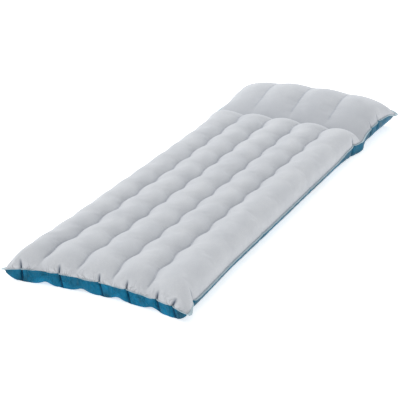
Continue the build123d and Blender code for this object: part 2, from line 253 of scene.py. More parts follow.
def pillow_top(x, y):
    """Full height of the top sheet over the pillow, and over the cross seam in front of it."""
    weld = weld_height(x, y)
    t = np.clip(np.abs(x) / curve(SIDE_X, y), 0, 1)
    across = np.where(x < 0, (1 - t**2) ** PILLOW_ROUND, np.sqrt(1 - t**PILLOW_FULLNESS))
    left = max(1 - (y - CROSS_Y) / (PILLOW_CREST_Y - CROSS_Y), 0)
    crest = CROSS_Z + (PILLOW_Z + PILLOW_TILT * x - CROSS_Z) * (1 - left**PILLOW_SLOPE)
    lobe = np.abs(x) / PILLOW_PITCH
    part = np.where(lobe < 1, lobe, np.minimum(lobe - 1, 0.5))
    dip = curve(PILLOW_DIP, y) * (1 - 4 * part * (1 - part))
    return weld + (crest - weld) * across - dip * across


def underside(x, y, seams):
    """Height of the bottom sheet: pressed flat on the floor, with a groove at each seam."""
    weld = weld_height(x, y)
    near_foot = 1 - float(ramp(y, FOOT_Y, FOOT_Y + 0.15))
    wider, lower, shift = FOOT_GROOVE
    reach, rise = GROOVE + wider * near_foot, FLOOR_VALLEY_Z - lower * near_foot
    cross = floor_curve(abs(y - CROSS_Y), GROOVE, FLOOR_VALLEY_Z)
    height = cross * (1 - ramp(np.abs(x), CROSS_BEAM_X - 0.03, CROSS_BEAM_X + 0.01))
    for seam in seams[1:-1]:
        height = np.maximum(height, floor_curve(np.abs(x - seam - shift * near_foot), reach, rise))
    side = curve(SIDE_X, y)
    return np.maximum(height, floor_curve(side - np.abs(x), curve(SIDE_REACH, y), weld))


# ---- the grids' rows ----------------------------------------------------------------------------
def make_rows():
    """The rows from foot to head: for each sheet (y, share of the full height, tilt, fold)."""
    rows = []

    def put(zone, top, low):
        rows.append({"zone": zone, "top": top, "low": low})

    steps, wall = FOOT_ROWS, FOOT_WALL_ROWS
    for i in range(steps):
        angle = math.pi / 2 * i / steps
        climbed = 0.09 * math.sin(angle * 0.9)
        fold = 1 - ramp(climbed, 0, 0.046)
        top = (FOOT_Y + FOOT_NOSE * (1 - math.cos(angle)), math.sin(angle), angle, fold)
        if i < wall:
            low = math.pi / 2 * i / wall
            low = (FOOT_Y, math.sin(low) ** 0.8, 0, 1 - 0.65 * i / wall)
        else:
            low = (FOOT_Y + FOOT_NOSE * (i - wall) / (steps - wall), 1, 0, 0)
        put("foot", top, low)

    start, end = FOOT_Y + FOOT_NOSE, CROSS_Y - CROSS_NOSE
    steps = round((end - start) / ROW_LENGTH)
    for y in np.linspace(start, end, steps, endpoint=False):
        put("body", (y, 1, 0, 0), (y, 1, 0, 0))

    for angle in np.linspace(0, math.pi / 2, NOSE_ROWS, endpoint=False):
        y = end + CROSS_NOSE * math.sin(angle)
        put("nose", (y, math.cos(angle), 0, 0), (y, 1, 0, 0))

    for y in np.linspace(CROSS_Y, PILLOW_CREST_Y, PILLOW_ROWS, endpoint=False):
        put("pillow", (y, 1, 0, 0), (y, 1, 0, 0))

    steps, wall = HEAD_ROWS, HEAD_WALL_ROWS
    for i in range(steps + 1):
        left = steps - i
        angle = math.pi / 2 * left / steps
        share = (1 - math.cos(angle) ** 2) ** 0.72
        fold = 1 - ramp(left, 0, 7)
        top = (PILLOW_CREST_Y + (HEAD_Y - PILLOW_CREST_Y) * math.cos(angle), share, angle, fold)
        if left <= wall:
            low = math.pi / 2 * left / wall
            y = HEAD_Y - HEAD_WALL * (1 - math.cos(low) ** 0.5)
            low = (y, math.sin(low) ** 0.8, 0, 1 - 0.8 * left / wall)
        else:
            y = PILLOW_CREST_Y + (HEAD_Y - HEAD_WALL - PILLOW_CREST_Y) * i / (steps - wall)
            low = (y, 1, 0, 0)
        put("head", top, low)
    return rows


ROWS = make_rows()
CROSS_ROW = [row["zone"] for row in ROWS].index("pillow")  # the row that runs along the cross seam
SAMPLES = np.sin(np.linspace(-math.pi / 2, math.pi / 2, 1201))


def spread(x, z, seams, columns, kept):
    """x of the columns along one row: even between the seams, apart from the folds."""
    length = np.concatenate([[0], np.cumsum(np.hypot(np.diff(x), np.diff(z)))])
    at = np.interp(seams, x, length)
    targets = np.zeros(COLUMNS + 1)
    for k in range(len(seams) - 1):
        share = np.concatenate([[0], np.cumsum(kept[columns[k] : columns[k + 1]])])
        targets[columns[k] : columns[k + 1] + 1] = at[k] + (at[k + 1] - at[k]) * share / share[-1]
    return np.interp(targets, length, x)


def row_points(row, sheet):
    """The points of one row of the top or the bottom sheet, and how deep each is in a fold."""
    y, share, tilt, fold = row[sheet]
    zone = row["zone"]
    x = SAMPLES * curve(SIDE_X, y)

    def height(at, seams):
        if sheet == "low":
            base, full, part = weld_height(at, y), underside(at, y, seams), share
        elif zone in ("pillow", "head"):
            base, full, part = weld_height(at, y), pillow_top(at, y), share
        elif zone == "nose":
            base, full, part = pillow_top(at, CROSS_Y), long_top(at, y), share
        else:
            base, full = weld_height(at, y), long_top(at, y)
            crest = np.clip((full - VALLEY_Z) / LOBE_RISE, 0, 1)
            part = share ** (1.25 - 0.25 * crest)  # the seams still show where the crests come down
        return base + (full - base) * part

    folds = {"foot": FOOT_FOLDS, "head": HEAD_FOLDS}.get(zone, ()) if fold > 0.02 else ()
    kept = np.ones(COLUMNS)
    for c in folds:
        kept[[c - 1, c]] -= fold * (1 - FOLD_SPACING[0])
        kept[[c - 2, c + 1]] -= fold * (1 - FOLD_SPACING[1])

    swell = math.exp(-(((y - SIDE_BULGE_Y) / SIDE_BULGE_LENGTH) ** 2))
    bulge = SIDE_BULGE * swell if sheet == "low" else 0.0
    slant = FOLD_SLANT * share if zone == "foot" and sheet == "low" and fold else 0

    # over the pillow's front slope, the columns move over from the long seams to the pillow's
    to_pillow = float(ramp(y, CROSS_Y, PILLOW_SEAM_Y[0])) if zone in ("pillow", "head") else 0.0
    places = np.zeros(COLUMNS + 1)
    for weight, seams, columns in (
        (1 - to_pillow, long_seams(y), LONG_SEAMS),
        (to_pillow, pillow_seams(y), PILLOW_SEAMS),
    ):
        if weight:
            places += weight * spread(x, height(x, seams), seams, columns, kept)
    places += slant * (1 - (places / curve(SIDE_X, y)) ** 2)
    places += np.sign(places) * bulge * ramp(np.abs(places) / curve(SIDE_X, y), 0.75, 0.95)
    z = height(places, pillow_seams(y) if to_pillow > 0.5 else long_seams(y))
    places += curve(LEFT_IN, y) * np.clip(-places / curve(SIDE_X, y), 0, 1) ** 2

    step = 2 * curve(SIDE_X, y) / kept.sum()
    near, far = (step * math.sqrt(1 - (1 - fold * (1 - s)) ** 2) for s in FOLD_SPACING)
    depth = np.zeros(COLUMNS + 1)
    for c in folds:
        depth[[c - 1, c + 1]] = far
        depth[c] = near + far
    inward = {"foot": 1, "head": -1}.get(zone, 0)
    plan = y + bow(places, y) + inward * depth * math.cos(tilt)
    return np.stack([places, plan, z - depth * math.sin(tilt) * (sheet == "top")], 1), depth


def fold_sides(grid, folds):
    """Folds the sides in, with the rows beside each fold drawn together."""
    for side, places in SIDE_FOLDS.items():
        edge = COLUMNS if side > 0 else 0
        for place, depth in places:
            middle = int(np.argmin(np.abs(grid[:, edge, 1] - place)))
            for inwards in range(SIDE_FOLD_COLUMNS):
                fade = (1 - inwards / SIDE_FOLD_COLUMNS) ** 1.6
                column = edge - side * inwards
                for off in range(-3, 4):
                    share = SIDE_FOLD_DEPTH[abs(off)]
                    grid[middle + off, column, 0] -= side * depth * share * fade
                    drawn = SIDE_FOLD_DRAWN[abs(off)] * min(depth / SIDE_FOLD_FULL, 1)
                    drawn = math.copysign(drawn, -off)
                    grid[middle + off, column, 1] += drawn * fade
                folds[middle, column] = max(folds[middle, column], depth * fade)


def start_grids():
    """Start shape of the top and bottom sheets, rows by columns by 3, and their folds."""
    grids, folds = {}, {}
    for sheet in ("top", "low"):
        pairs = [row_points(row, sheet) for row in ROWS]
        grids[sheet] = np.array([p for p, _ in pairs])
        folds[sheet] = np.array([f for _, f in pairs])
    top, low = grids["top"], grids["low"]
    low[0], low[-1] = top[0], top[-1]
    low[:, 0], low[:, -1] = top[:, 0], top[:, -1]
    for sheet in grids:
        fold_sides(grids[sheet], folds[sheet])
    flatten_for_valve(top, 0.006)
    flatten_for_valve(low, 0.030)
    return top, low, folds["top"], folds["low"]


def flatten_for_valve(grid, feather):
    """Brings the head wall into the plane of the valve's seat, to a little past the flange."""
    from_axis = np.hypot(grid[..., 0] - VALVE_X, grid[..., 2] - VALVE_Z)
    weight = 1 - ramp(from_axis, SEAT_FROM, SEAT_FROM + feather)
    weight *= grid[..., 1] > HEAD_Y - 0.05
    grid[..., 1] += (HEAD_Y - grid[..., 1]) * weight


top_grid, low_grid, top_folds, low_folds = start_grids()
ROW_COUNT = len(ROWS)
row_index, column_index = np.mgrid[0:ROW_COUNT, 0 : COLUMNS + 1]
on_edge = (row_index % (ROW_COUNT - 1) == 0) | (column_index % COLUMNS == 0)


# ---- cloth simulation ---------------------------------------------------------------------------
def held_points(grid, sheet):
    """Points that the welds, the floor and the valve hold still."""
    y = grid[..., 1]
    held = on_edge.copy()
    for k in LONG_SEAMS[1:-1]:
        held[:, k] |= (y[:, k] > SEAM_FROM_Y) & (y[:, k] < BEAM_TO_Y)
    held[CROSS_ROW] |= np.abs(grid[CROSS_ROW, :, 0]) < CROSS_BEAM_X
    for k in PILLOW_SEAMS[1:-1]:
        held[:, k] |= (y[:, k] > PILLOW_SEAM_Y[0]) & (y[:, k] < PILLOW_SEAM_Y[1])
    from_axis = np.hypot(grid[..., 0] - VALVE_X, grid[..., 2] - VALVE_Z)
    held |= (from_axis < SEAT_HELD) & (y > HEAD_Y - 0.003)
    if sheet == "low":
        held |= grid[..., 2] < 0.0004
    return held


def strips(rows, columns, offset=0):
    """Quads of a grid of points, as indices."""
    corner = (np.arange(rows - 1)[:, None] * columns + np.arange(columns - 1)).ravel() + offset
    return np.stack([corner, corner + 1, corner + columns + 1, corner + columns], 1)


def mesh_object(name, points, faces, smooth=True):
    """A new object in the scene, made of points and faces."""
    mesh = bpy.data.meshes.new(name)
    mesh.from_pydata(np.asarray(points).tolist(), [], [list(map(int, f)) for f in faces])
    mesh.polygons.foreach_set("use_smooth", [smooth] * len(mesh.polygons))
    mesh.update()
    ob = bpy.data.objects.new(name, mesh)
    bpy.context.scene.collection.objects.link(ob)
    return ob


def inflate(top, low):
    """Fills the two sheets out under air pressure and gives back their new grids."""
    count = top.size // 3
    index = np.arange(count).reshape(ROW_COUNT, -1)
    low_index = index + count
    low_index[on_edge] = index[on_edge]
    top_faces = strips(ROW_COUNT, COLUMNS + 1)
    low_faces = low_index.ravel()[top_faces][:, ::-1]
    points = np.concatenate([top.reshape(-1, 3), low.reshape(-1, 3)])
    used = np.zeros(len(points), bool)
    used[np.concatenate([top_faces, low_faces]).ravel()] = True
    renumber = np.cumsum(used) - 1
    ob = mesh_object("air_chamber", points[used], renumber[np.concatenate([top_faces, low_faces])])
    held = np.concatenate([held_points(top, "top").ravel(), held_points(low, "low").ravel()])[used]
    group = ob.vertex_groups.new(name="held")
    group.add(np.nonzero(held)[0].tolist(), 1.0, "REPLACE")

    cloth = ob.modifiers.new("air", "CLOTH")
    settings = cloth.settings
    settings.quality = 5
    settings.mass = 0.0004
    settings.tension_stiffness = 40
    settings.compression_stiffness = 10
    settings.shear_stiffness = 10
    settings.bending_stiffness = 0.03
    settings.tension_damping = settings.compression_damping = settings.shear_damping = 5
    settings.air_damping = 2
    # the sheets are a little longer than the start shape, so they crumple at the welds
    settings.shrink_min = -0.006
    settings.use_pressure = True
    settings.uniform_pressure_force = 2.0
    settings.vertex_group_mass = "held"
    settings.effector_weights.gravity = 0
    cloth.collision_settings.use_collision = False
    cloth.point_cache.frame_start = 1
    cloth.point_cache.frame_end = FRAMES
    for f in range(1, FRAMES + 1):
        bpy.context.scene.frame_set(f)
    evaluated = ob.evaluated_get(bpy.context.evaluated_depsgraph_get())
    settled = np.empty(len(evaluated.data.vertices) * 3, np.float32)
    evaluated.data.vertices.foreach_get("co", settled)
    bpy.data.objects.remove(ob)
    bpy.context.scene.frame_set(1)

    moved = settled.reshape(-1, 3) - points[used]
    far = np.linalg.norm(moved, axis=1, keepdims=True)
    points[used] += moved * np.minimum(1, MOST_MOVE / np.maximum(far, 1e-9))
    low_points = points[low_index.ravel()].reshape(low.shape)
    low_points[..., 2] = np.maximum(low_points[..., 2], 0)
    return points[:count].reshape(top.shape), low_points


top_grid, low_grid = inflate(top_grid, low_grid)


# ---- materials ----------------------------------------------------------------------------------
def new_material(name, **values):
    """A material with constants on its shader, and its node tree."""
    material = bpy.data.materials.new(name)
    material.use_nodes = True
    shader = material.node_tree.nodes["Principled BSDF"]
    for socket, value in values.items():
        shader.inputs[socket.replace("_", " ")].default_value = value
    return material, material.node_tree, shader


def node(tree, kind, sockets=None, **settings):
    """A shader node whose sockets are set to constants or linked to other nodes' outputs."""
    made = tree.nodes.new("ShaderNode" + kind)
    for key, value in settings.items():
        setattr(made, key, value)
    for key, value in (sockets or {}).items():
        if isinstance(value, bpy.types.NodeSocket):
            tree.links.new(value, made.inputs[key])
        else:
            made.inputs[key].default_value = value
    return made


def maths(tree, operation, *values):
    """Output of a Math node."""
    return node(tree, "Math", dict(enumerate(values)), operation=operation).outputs[0]


def mapped(tree, value, low, high, to_low, to_high):
    """Value moved from the range low to high into the range to_low to to_high, and kept in it."""
    sockets = {"Value": value, "From Min": low, "From Max": high}
    sockets |= {"To Min": to_low, "To Max": to_high}
    return node(tree, "MapRange", sockets).outputs["Result"]


def mix(tree, factor, a, b):
    """Colour a where factor is 0 and b where it is 1."""
    made = node(tree, "Mix", data_type="RGBA")
    for key, value in (("Factor", factor), ("A", a), ("B", b)):
        socket = next(s for s in made.inputs if s.name == key and s.enabled)
        if isinstance(value, bpy.types.NodeSocket):
            tree.links.new(value, socket)
        else:
            socket.default_value = value
    return next(s for s in made.outputs if s.enabled)


def noise(tree, place, size, detail=2.0, roughness=0.5, stretch=(1, 1, 1)):
    """Noise with features of a size in metres."""
    if stretch != (1, 1, 1):
        place = node(tree, "Mapping", {"Vector": place, "Scale": stretch}).outputs["Vector"]
    sockets = {"Vector": place, "Scale": 1 / size, "Detail": detail, "Roughness": roughness}
    return node(tree, "TexNoise", sockets).outputs["Fac"]


def bump(tree, height, depth, strength=1.0, before=None):
    """Bump from a 0 to 1 height, with its depth in metres, laid over another bump."""
    sockets = {"Height": height, "Distance": depth, "Strength": strength}
    if before:
        sockets["Normal"] = before
    return node(tree, "Bump", sockets).outputs["Normal"]


def link(tree, output, shader, socket):
    """Feeds an output into a socket of the shader."""
    tree.links.new(output, shader.inputs[socket])


def attribute(tree, name):
    """A mesh attribute's value."""
    return node(tree, "Attribute", attribute_name=name).outputs["Fac"]


def waves(tree, line, wander, pitch):
    """A 0 to 1 wave along a line, every pitch metres, that a noise pushes about."""
    wander = maths(tree, "MULTIPLY", wander, 18.0)
    phase = maths(tree, "MULTIPLY_ADD", line, 2 * math.pi / pitch, wander)
    return mapped(tree, maths(tree, "SINE", phase), -1.0, 1.0, 0.0, 1.0)


def gathers(tree, place):
    """Bump of the gathers at the welds: fine ones along the mattress, wider ones across it."""
    line = node(tree, "SeparateXYZ", {"Vector": place})
    wander = noise(tree, place, 0.035, 1.0)
    sides = mapped(tree, attribute(tree, "weld_long"), 0.001, 0.020, 1.0, 0.0)
    sides = maths(tree, "POWER", sides, 1.4)
    sides = maths(tree, "MULTIPLY", waves(tree, line.outputs["Y"], wander, 0.013), sides)
    ends = mapped(tree, attribute(tree, "weld_end"), 0.002, 0.060, 1.0, 0.0)
    ends = maths(tree, "POWER", ends, 1.6)
    ends = maths(tree, "MULTIPLY", waves(tree, line.outputs["X"], wander, 0.024), ends)
    return bump(tree, ends, 0.0060, 0.9, bump(tree, sides, 0.0011, 0.8))


def flocked_vinyl():
    """Light grey flock on vinyl, brushed, pressed at the welds, with painted shade on the pillow's
    front behind the cross seam, in the groove at the side welds and in the folds.
    """
    material, tree, shader = new_material(
        "flocked_vinyl", Roughness=0.92, Sheen_Weight=0.35, Sheen_Roughness=0.45
    )
    shader.inputs["Specular IOR Level"].default_value = 0.18
    shader.inputs["Sheen Tint"].default_value = (0.93, 0.96, 1.0, 1)
    place = node(tree, "TexCoord").outputs["Object"]
    brushed = noise(tree, place, 0.075, 3.0, 0.62, (1.0, 0.55, 1.0))
    fibre = noise(tree, place, 0.0016, 3.0, 0.7)
    speck = noise(tree, place, 0.0042, 2.0, 0.6)
    cloudy = mapped(tree, brushed, 0.30, 0.70, 0.0, 1.0)
    base = mix(tree, cloudy, (0.550, 0.563, 0.588, 1), (0.622, 0.632, 0.650, 1))
    base = mix(tree, mapped(tree, speck, 0.35, 0.75, 0.0, 0.35), base, (0.48, 0.50, 0.54, 1))
    base = mix(tree, mapped(tree, fibre, 0.55, 0.80, 0.0, 0.30), base, (0.70, 0.71, 0.72, 1))
    # painted shade: the pillow's front is darkened most at the cross seam and less further back
    pillow_front_shade = mapped(tree, attribute(tree, "pillow_front_shade"), 0.0, 1.0, 0.0, 0.55)
    base = mix(tree, pillow_front_shade, base, (0.40, 0.415, 0.445, 1))
    weld = attribute(tree, "weld")
    pressed = mapped(tree, weld, 0.0005, 0.0060, 0.45, 0.0)
    base = mix(tree, pressed, base, (0.33, 0.36, 0.41, 1))
    # painted shade: a dark line in the groove where the top sheet meets the side welds
    groove = mapped(tree, attribute(tree, "side"), 0.0, 0.0034, 0.75, 0.0)
    base = mix(tree, groove, base, (0.15, 0.19, 0.22, 1))
    # painted shade in the folds
    fold = mapped(tree, attribute(tree, "fold"), 0.0015, 0.009, 0.0, 0.92)
    base = mix(tree, fold, base, (0.06, 0.09, 0.14, 1))
    link(tree, base, shader, "Base Color")
    normal = bump(tree, brushed, 0.0015, 0.35, gathers(tree, place))
    normal = bump(tree, fibre, 0.00035, 0.6, normal)
    link(tree, normal, shader, "Normal")
    link(tree, mapped(tree, weld, 0.0, 0.004, 0.70, 0.94), shader, "Roughness")
    return material


def blue_vinyl():
    """Medium blue vinyl with a fine embossed grain, with painted shade in its folds and towards the
    sides.
    """
    light, dark = (0.001, 0.176, 0.330, 1), (0.001, 0.084, 0.152, 1)
    material, tree, shader = new_material("blue_vinyl", Roughness=0.42)
    shader.inputs["Specular IOR Level"].default_value = 0.12
    place = node(tree, "TexCoord").outputs["Object"]
    cloudy = noise(tree, place, 0.055, 3.0, 0.6)
    cells = {"Vector": place, "Scale": 1 / 0.0017}
    grain = node(tree, "TexVoronoi", cells, feature="DISTANCE_TO_EDGE").outputs["Distance"]
    base = mix(tree, mapped(tree, cloudy, 0.35, 0.65, 0.0, 1.0), dark, light)
    # painted shade: darker teal near the side welds, fading inwards
    side = mapped(tree, attribute(tree, "side"), 0.0, 0.060, 0.55, 0.0)
    base = mix(tree, side, base, (0.006, 0.055, 0.080, 1))
    # painted shade in the folds
    fold = mapped(tree, attribute(tree, "fold"), 0.0015, 0.010, 0.0, 0.9)
    base = mix(tree, fold, base, (0.003, 0.030, 0.080, 1))
    weld = attribute(tree, "weld")
    base = mix(tree, mapped(tree, weld, 0.0, 0.007, 0.35, 0.0), base, (0.02, 0.19, 0.31, 1))
    link(tree, base, shader, "Base Color")
    link(tree, mapped(tree, cloudy, 0.3, 0.7, 0.36, 0.50), shader, "Roughness")
    grain = mapped(tree, grain, 0.0, 0.25, 0.0, 1.0)
    normal = bump(tree, grain, 0.00012, 0.5, gathers(tree, place))
    link(tree, normal, shader, "Normal")
    return material


def moulded_plastic(name, colour, roughness, see_through, grain=0.0007):
    """Soft moulded plastic with a fine spark-eroded grain and uneven gloss."""
    material, tree, shader = new_material(name)
    shader.inputs["Specular IOR Level"].default_value = 0.45
    shader.inputs["Subsurface Weight"].default_value = see_through
    shader.inputs["Subsurface Scale"].default_value = 0.004
    shader.inputs["Subsurface Radius"].default_value = (0.8, 1.0, 1.1)
    place = node(tree, "TexCoord").outputs["Object"]
    uneven = noise(tree, place, 0.009, 3.0, 0.6)
    fine = noise(tree, place, grain, 2.0, 0.6)
    darker = (colour[0] * 0.86, colour[1] * 0.88, colour[2] * 0.90, 1)
    cloudy = mapped(tree, uneven, 0.35, 0.65, 0.0, 1.0)
    link(tree, mix(tree, cloudy, darker, (*colour, 1)), shader, "Base Color")
    gloss = mapped(tree, uneven, 0.3, 0.7, roughness - 0.06, roughness + 0.10)
    link(tree, gloss, shader, "Roughness")
    link(tree, bump(tree, fine, 0.00006, 0.6), shader, "Normal")
    return material


FLOCK = flocked_vinyl()
BLUE = blue_vinyl()
BEAM_VINYL = moulded_plastic("beam_vinyl", (0.33, 0.46, 0.56), 0.45, 0.10)
CLEAR_PVC = moulded_plastic("valve_plastic", (0.50, 0.62, 0.70), 0.30, 0.30)
INSERT_PLASTIC = moulded_plastic("insert_plastic", (0.62, 0.64, 0.66), 0.34, 0.10)
CAP_PLASTIC = moulded_plastic("cap_plastic", (0.035, 0.17, 0.33), 0.36, 0.08)
RUBBER = moulded_plastic("seal_rubber", (0.045, 0.047, 0.050), 0.62, 0.0, 0.0011)


def dress(ob, material, slot, body, *nodes):
    """Gives a new piece its material and body, and hides the CAD nodes that it stands for."""
    ob.data.materials.append(material)
    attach(ob, body)
    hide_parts(*nodes)


# ---- the two sheets -----------------------------------------------------------------------------
def weld_distances(grid):
    """Distances to the nearest weld along the mattress, to its ends, and to any weld."""
    x, y = grid[..., 0], grid[..., 1]
    along = np.minimum(column_index, COLUMNS - column_index) * EDGE_COLUMN
    seams = [(k, SEAM_FROM_Y, BEAM_TO_Y) for k in LONG_SEAMS[1:-1]]
    seams += [(k, *PILLOW_SEAM_Y) for k in PILLOW_SEAMS[1:-1]]
    for k, start, end in seams:
        past = np.maximum(start - y, y - end).clip(0)
        along = np.minimum(along, np.hypot(x - grid[:, k : k + 1, 0], past))
    ends = np.minimum(row_index, ROW_COUNT - 1 - row_index) * END_ROW
    cross = np.hypot(y - y[CROSS_ROW], (np.abs(x) - CROSS_BEAM_X).clip(0))
    return along, ends, np.minimum(np.minimum(along, ends), cross)


def set_attribute(mesh, name, values):
    made = mesh.attributes.new(name, "FLOAT", "POINT")
    made.data.foreach_set("value", np.asarray(values, np.float32).ravel())


def subdivide(ob):
    """Smooths the mesh by one subdivision."""
    ob.modifiers.new("smooth", "SUBSURF").levels = 1
    evaluated = ob.evaluated_get(bpy.context.evaluated_depsgraph_get())
    mesh = bpy.data.meshes.new_from_object(evaluated)
    ob.modifiers.clear()
    ob.data = mesh


def crease_seams(mesh, grid, held):
    """Keeps the welded seams sharp when the mesh is subdivided."""
    ends = np.empty(len(mesh.edges) * 2, np.int32)
    mesh.edges.foreach_get("vertices", ends)
    rows, columns = np.divmod(ends.reshape(-1, 2), COLUMNS + 1)
    welded = (held & ~on_edge & (grid[..., 2] > 0.002)).ravel()[ends.reshape(-1, 2)].all(1)
    along = (columns[:, 0] == columns[:, 1]) & np.isin(columns[:, 0], LONG_SEAMS + PILLOW_SEAMS)
    crease = mesh.attributes.new("crease_edge", "FLOAT", "EDGE")
    crease.data.foreach_set("value", (welded & along) * WELD_CREASE)


def make_skin(name, grid, folds, held, flip):
    """One sheet as a mesh, with the attributes that its material reads."""
    faces = strips(ROW_COUNT, COLUMNS + 1)
    ob = mesh_object(name, grid.reshape(-1, 3), faces[:, ::-1] if flip else faces)
    crease_seams(ob.data, grid, held)
    for attribute_name, values in zip(("weld_long", "weld_end", "weld"), weld_distances(grid)):
        set_attribute(ob.data, attribute_name, values)
    # fold depth, which the materials turn into painted shade
    set_attribute(ob.data, "fold", folds)
    # distance from the sides, which the materials turn into painted shade near the side welds
    side = np.minimum(column_index, COLUMNS - column_index) * EDGE_COLUMN
    set_attribute(ob.data, "side", side)
    # weight of the painted shade on the pillow's front, 1 at the cross seam and fading further back
    behind = grid[..., 1] - grid[CROSS_ROW, :, 1]
    set_attribute(ob.data, "pillow_front_shade", (row_index >= CROSS_ROW) * (1 - ramp(behind, 0, PILLOW_SHADE_LENGTH)))
    subdivide(ob)
    return ob


def cut_valve_hole(ob, radius):
    """Takes the bottom sheet away inside the valve's recess, with a round rim."""
    bm = bmesh.new()
    bm.from_mesh(ob.data)

    def from_axis(v):
        return math.hypot(v.co.x - VALVE_X, v.co.z - VALVE_Z) if v.co.y > HEAD_Y - 0.03 else 1.0

    inside = [f for f in bm.faces if all(from_axis(v) < radius + 0.0015 for v in f.verts)]
    bmesh.ops.delete(bm, geom=inside, context="FACES")
    for v in bm.verts:
        if v.is_boundary and from_axis(v) < radius + 0.004:
            out = Vector((v.co.x - VALVE_X, 0, v.co.z - VALVE_Z)).normalized() * radius
            v.co = Vector((VALVE_X + out.x, HEAD_Y, VALVE_Z + out.z))
    bm.to_mesh(ob.data)
    bm.free()


top_skin = make_skin("top_skin", top_grid, top_folds, held_points(top_grid, "top"), False)
bottom_skin = make_skin("bottom_skin", low_grid, low_folds, held_points(low_grid, "low"), True)
cut_valve_hole(bottom_skin, VALVE_HOLE_R)
dress(top_skin, FLOCK, "flocked_vinyl", "mattress", "top_sheet")
dress(bottom_skin, BLUE, "blue_vinyl", "mattress", "bottom_sheet")


# ---- edge weld: the narrow doubled rim where the sheets meet ------------------------------------
def edge_weld():
    """The rim, as rings of eight points round the edge, wider at the corners."""
    rows, columns = ROW_COUNT - 1, COLUMNS
    loop = [(0, c) for c in range(columns)] + [(r, columns) for r in range(rows)]
    loop += [(rows, c) for c in range(columns, 0, -1)] + [(r, 0) for r in range(rows, 0, -1)]
    inner = [(min(max(r, 1), rows - 1), min(max(c, 1), columns - 1)) for r, c in loop]
    at, step = np.array(loop), np.array(inner)
    edge = top_grid[at[:, 0], at[:, 1]]
    out = np.zeros_like(edge)
    for grid in (top_grid, low_grid):
        away = edge - grid[step[:, 0], step[:, 1]]
        out += away / np.linalg.norm(away, axis=1, keepdims=True)
    out[:, 2] *= 0.5
    for _ in range(3):
        out = out + np.roll(out, 1, 0) + np.roll(out, -1, 0)
    out /= np.linalg.norm(out, axis=1, keepdims=True)
    to_end = np.maximum(-edge[:, 1] / CORNER_Y, edge[:, 1] / HEAD_Y)
    corner = np.minimum(np.abs(edge[:, 0]), CORNER_X) / CORNER_X * to_end
    width = FLANGE + EAR * np.clip((corner - 0.90) / 0.09, 0, 1) ** 2
    folded = top_folds[at[:, 0], at[:, 1]]
    number = np.arange(len(loop))
    wobble = 0.0007 * np.sin(number * 0.9) + 0.0005 * np.sin(number * 2.3)
    up = np.array([0, 0, 1.0])
    rings = []
    upper_half = ((-0.35, 0.9), (0.35, 1.0), (0.85, 1.0), (1.0, 0.5))
    lower_half = tuple((share, -lift) for share, lift in reversed(upper_half))
    for out_share, lift in upper_half + lower_half:
        offset = out * (width * out_share)[:, None]
        offset[:, 2] += lift * RIM_HALF + wobble * max(out_share, 0)
        rings.append(edge + offset)
    points = np.stack(rings, 1)
    count, around = points.shape[:2]
    faces = []
    for i in range(count):
        j = (i + 1) % count
        for k in range(around - 1):
            faces.append((i * around + k, i * around + k + 1, j * around + k + 1, j * around + k))
    ob = mesh_object("edge_weld", points.reshape(-1, 3), faces)
    set_attribute(ob.data, "upper", np.tile([1.0, 1.0, 1.0, 0.8, 0.5, 0.0, 0.0, 0.0], count))
    set_attribute(ob.data, "fold", np.repeat(folded * 0.5, around))
    subdivide(ob)
    return ob


def weld_material():
    """Pressed flock above and blue vinyl below, with the fine ribs of a heat weld; the flock is
    lightened to teal as a painted highlight and the vinyl darkened as painted shade where it faces
    down.
    """
    material, tree, shader = new_material("edge_weld", Roughness=0.55)
    shader.inputs["Specular IOR Level"].default_value = 0.35
    place = node(tree, "TexCoord").outputs["Object"]
    cloudy = noise(tree, place, 0.02, 3.0, 0.6)
    # flock above and vinyl below are real; the lighter teal above is a painted highlight and the
    # dark blue below is painted shade
    grey = mix(tree, cloudy, (0.42, 0.54, 0.59, 1), (0.52, 0.62, 0.66, 1))
    blue = mix(tree, cloudy, (0.006, 0.080, 0.125, 1), (0.010, 0.105, 0.160, 1))
    base = mix(tree, attribute(tree, "upper"), blue, grey)
    link(tree, base, shader, "Base Color")
    xyz = node(tree, "SeparateXYZ", {"Vector": place})
    line = maths(tree, "ADD", xyz.outputs["X"], xyz.outputs["Y"])
    ribs = maths(tree, "SINE", maths(tree, "MULTIPLY", line, 2 * math.pi / 0.0016))
    ribs = mapped(tree, ribs, -1.0, 1.0, 0.0, 1.0)
    link(tree, bump(tree, ribs, 0.00025, 0.6), shader, "Normal")
    return material


weld = edge_weld()
dress(weld, weld_material(), "blue_vinyl", "mattress", "bottom_sheet")


# ---- beams inside, between the sheets' seams ----------------------------------------------------
def beam(name, top_line, low_line, node_name):
    """An upright strip between a line of the top sheet and the same line of the bottom sheet."""
    steps = 6
    top_line = top_line - np.array([0, 0, BEAM_INSET])
    low_line = low_line + np.array([0, 0, BEAM_INSET])
    shares = np.linspace(0, 1, steps + 1)[None, :, None]
    points = top_line[:, None] + (low_line - top_line)[:, None] * shares
    ob = mesh_object(name, points.reshape(-1, 3), strips(len(top_line), steps + 1))
    ob.modifiers.new("thickness", "SOLIDIFY").thickness = BEAM_THICK
    ob.modifiers["thickness"].offset = 0
    dress(ob, BEAM_VINYL, "beam_vinyl", "mattress", node_name)


def rows_between(column, start, end):
    """Numbers of the rows whose y at that column lies between start and end."""
    y = top_grid[:, column, 1]
    return np.nonzero((y > start) & (y < end))[0]


for i, column in enumerate(LONG_SEAMS[1:-1], 1):
    rows = rows_between(column, BEAM_FROM_Y, BEAM_TO_Y)
    beam(f"long_beam_{i}", top_grid[rows, column], low_grid[rows, column], f"wave_beam_{i}")
for i, column in enumerate(PILLOW_SEAMS[1:-1], 1):
    rows = rows_between(column, *PILLOW_SEAM_Y)
    beam(f"short_beam_{i}", top_grid[rows, column], low_grid[rows, column], f"pillow_beam_{i}")
inside = np.nonzero(np.abs(top_grid[CROSS_ROW, :, 0]) < CROSS_BEAM_X)[0]
beam("cross_wall", top_grid[CROSS_ROW, inside], low_grid[CROSS_ROW, inside], "cross_beam")


